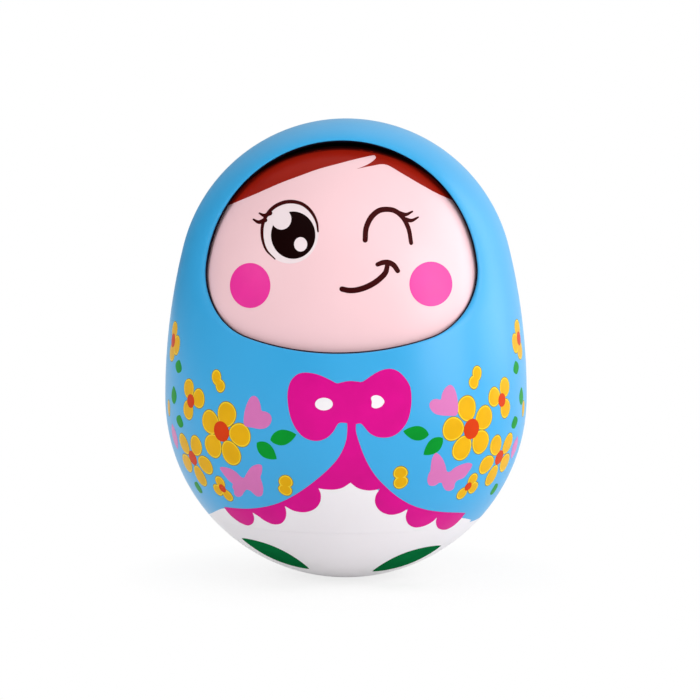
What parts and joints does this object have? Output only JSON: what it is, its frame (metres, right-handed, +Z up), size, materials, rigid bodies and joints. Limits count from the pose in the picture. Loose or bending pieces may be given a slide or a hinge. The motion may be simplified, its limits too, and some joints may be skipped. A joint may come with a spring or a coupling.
{
  "type": "roly poly toy",
  "caption": "Egg-shaped plastic roly poly doll on a weighted round base, with a domed face that nods behind a window in the hood and a bell inside.",
  "frame": {"origin": "middle of the small flat under the base that the toy stands on", "axes": "+Z up through the top of the hood, the face looks towards -Y, the axle of the face lies along X"},
  "size_m": [0.14, 0.14, 0.177],
  "materials": {
    "shell": "glossy blue plastic with printed ornament",
    "bowl": "glossy white plastic",
    "face": "satin pink plastic with a printed face",
    "works": "matt ivory plastic",
    "fasteners": "zinc plated",
    "axle": "drawn steel",
    "steel": "bare steel",
    "ballast": "rough cast",
    "bell": "spun brass"
  },
  "bodies": {
    "body": {"front_shell": "shell", "rear_shell": "shell", "base_bowl": "bowl", "shell_screws": "fasteners", "head_axle": "axle", "ballast_weight": "ballast", "ballast_screws": "fasteners", "bell_bracket": "works", "bell": "bell", "bell_bolt": "steel", "bell_nut": "steel", "clapper_pin": "steel"},
    "head": {"face_shell": "face", "head_back": "works", "head_screws": "fasteners", "left_bush": "works", "right_bush": "works", "head_weight": "steel", "head_weight_screws": "fasteners"},
    "clapper": {"clapper_arm": "steel", "clapper_ball": "steel"}
  },
  "joints": [
    {"name": "head_nod", "type": "hinge", "parent": "body", "child": "head", "pos_m": [0, 0, 0.105], "axis": [1, 0, 0], "range_deg": [-10, 10]},
    {"name": "clapper_swing", "type": "hinge", "parent": "body", "child": "clapper", "pos_m": [0, 0, 0.03959], "axis": [0, 1, 0], "range_deg": [-26, 26]}
  ]
}
